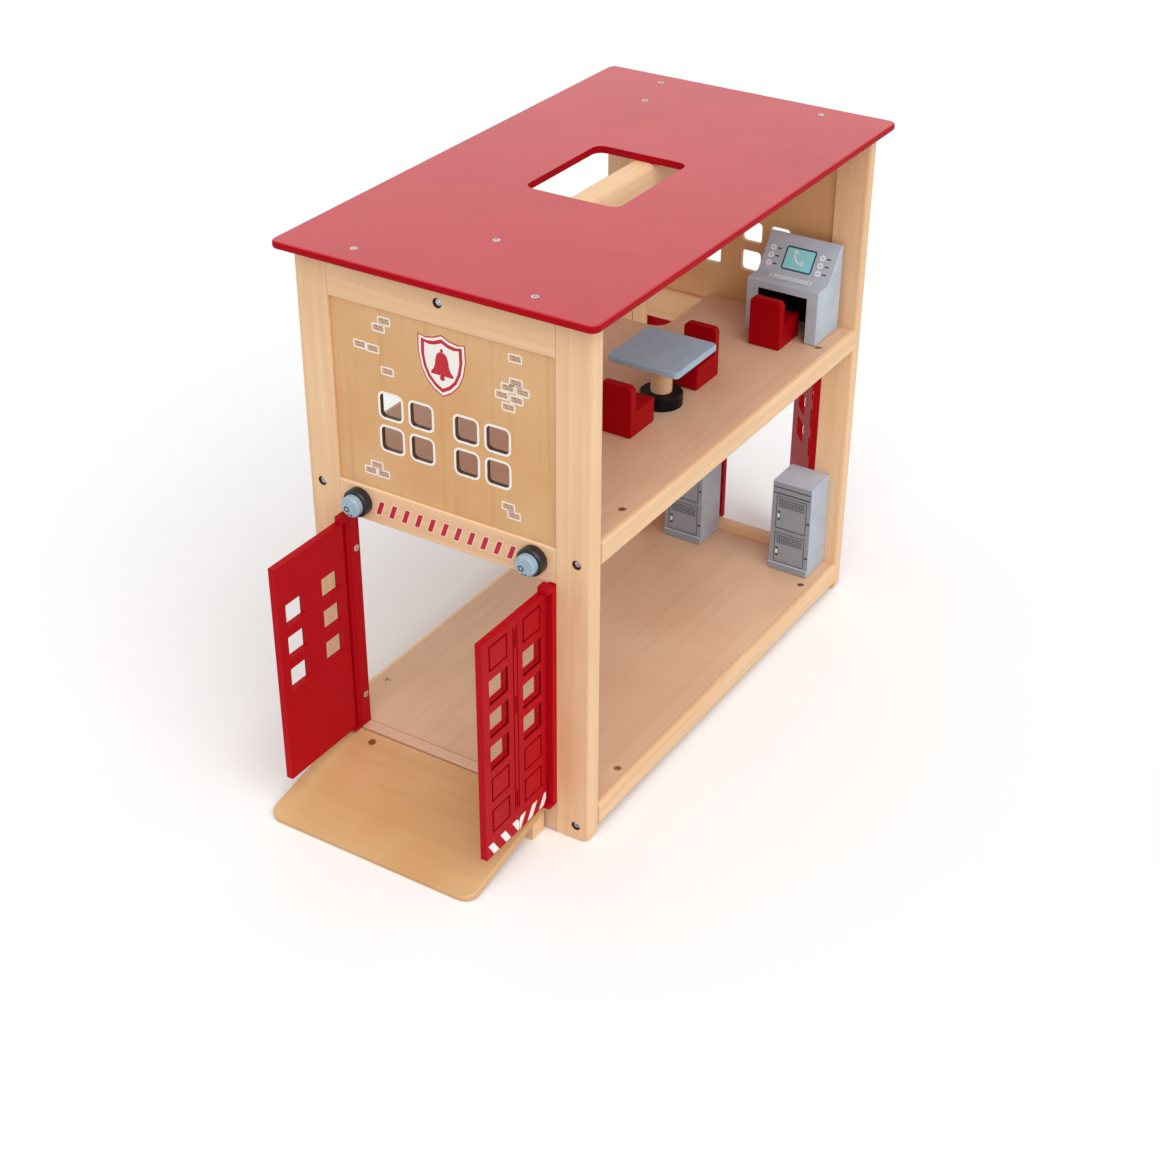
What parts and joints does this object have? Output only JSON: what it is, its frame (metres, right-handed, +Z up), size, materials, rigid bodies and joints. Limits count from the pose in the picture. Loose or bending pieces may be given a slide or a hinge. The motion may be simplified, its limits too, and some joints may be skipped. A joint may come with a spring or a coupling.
{
  "type": "toy fire station",
  "caption": "Two-storey wooden toy fire station with hinged red doors at both ends, a loose ramp, a pole, lockers, a table with chairs and a console desk.",
  "frame": {"origin": "middle of the overall box, at ground level", "axes": "+X to the right seen from the front, -Y towards the front doorway, +Z up"},
  "size_m": [0.28, 0.6439, 0.4568],
  "materials": {
    "beech": "clear lacquered beech",
    "birch_plywood": "clear lacquered plywood",
    "floor_plywood": "satin lacquered board",
    "red_paint": "glossy red paint on wood",
    "grey_paint": "satin grey paint on wood",
    "black_paint": "satin black paint on wood",
    "pale_blue_paint": "satin pale blue paint on wood",
    "zinc_plated_steel": "zinc plated"
  },
  "bodies": {
    "station": {"front_left_stile": "beech", "front_right_stile": "beech", "rear_left_stile": "beech", "rear_right_stile": "beech", "front_top_rail": "beech", "front_middle_rail": "beech", "rear_top_rail": "beech", "rear_middle_rail": "beech", "front_sill": "beech", "rear_sill": "beech", "front_window_panel": "birch_plywood", "rear_window_panel": "birch_plywood", "roof_panel": "red_paint", "roof_beam": "beech", "roof_screw_front_left": "zinc_plated_steel", "roof_screw_front_right": "zinc_plated_steel", "roof_screw_rear_left": "zinc_plated_steel", "roof_screw_rear_right": "zinc_plated_steel", "roof_screw_beam": "zinc_plated_steel", "roof_screw_pole": "zinc_plated_steel", "base_beam_left": "beech", "base_beam_right": "beech", "mezzanine_beam_left": "beech", "mezzanine_beam_right": "beech", "mezzanine_floor": "floor_plywood", "ground_floor": "floor_plywood", "fire_pole": "beech", "front_left_jamb": "red_paint", "front_right_jamb": "red_paint", "rear_left_jamb": "red_paint", "rear_right_jamb": "red_paint", "lamp_base_left": "black_paint", "lamp_base_right": "black_paint", "lamp_cap_left": "pale_blue_paint", "lamp_cap_right": "pale_blue_paint", "table_top": "grey_paint", "table_leg": "beech", "table_base": "black_paint", "console_desk": "grey_paint", "locker_left": "grey_paint", "locker_right": "grey_paint"},
    "front_left_leaf": {"front_left_door": "red_paint", "front_left_lower_hinge_pin": "zinc_plated_steel", "front_left_upper_hinge_pin": "zinc_plated_steel"},
    "front_right_leaf": {"front_right_door": "red_paint", "front_right_lower_hinge_pin": "zinc_plated_steel", "front_right_upper_hinge_pin": "zinc_plated_steel"},
    "rear_left_leaf": {"rear_left_door": "red_paint", "rear_left_lower_hinge_pin": "zinc_plated_steel", "rear_left_upper_hinge_pin": "zinc_plated_steel"},
    "rear_right_leaf": {"rear_right_door": "red_paint", "rear_right_lower_hinge_pin": "zinc_plated_steel", "rear_right_upper_hinge_pin": "zinc_plated_steel"},
    "ramp": {"ramp_board": "birch_plywood", "ramp_bearer": "beech", "ramp_screw_left": "zinc_plated_steel", "ramp_screw_right": "zinc_plated_steel"},
    "near_chair": {"dining_chair_near": "red_paint"},
    "far_chair": {"dining_chair_far": "red_paint"},
    "console_chair": {"desk_chair": "red_paint"}
  },
  "joints": [
    {"name": "front_left_hinge", "type": "hinge", "parent": "station", "child": "front_left_leaf", "pos_m": [-0.0972, -0.21948, 0.13], "axis": [0, 0, 1], "range_deg": [-90, 90]},
    {"name": "front_right_hinge", "type": "hinge", "parent": "station", "child": "front_right_leaf", "pos_m": [0.0914, -0.21948, 0.13], "axis": [0, 0, -1], "range_deg": [-90, 90]},
    {"name": "rear_left_hinge", "type": "hinge", "parent": "station", "child": "rear_left_leaf", "pos_m": [-0.0945, 0.24982, 0.13], "axis": [0, 0, -1], "range_deg": [-180, 0]},
    {"name": "rear_right_hinge", "type": "hinge", "parent": "station", "child": "rear_right_leaf", "pos_m": [0.0945, 0.24982, 0.13], "axis": [0, 0, 1], "range_deg": [-130, 50]},
    {"name": "ramp_slide", "type": "slide", "parent": "station", "child": "ramp", "axis": [0, -1, 0], "range_m": [0, 0.05]},
    {"name": "near_chair_slide", "type": "slide", "parent": "station", "child": "near_chair", "axis": [0, -1, 0], "range_m": [-0.01, 0.06]},
    {"name": "far_chair_slide", "type": "slide", "parent": "station", "child": "far_chair", "axis": [0, 1, 0], "range_m": [-0.0107, 0.0243]},
    {"name": "console_chair_slide", "type": "slide", "parent": "station", "child": "console_chair", "axis": [0, -1, 0], "range_m": [-0.016, 0.03]}
  ]
}
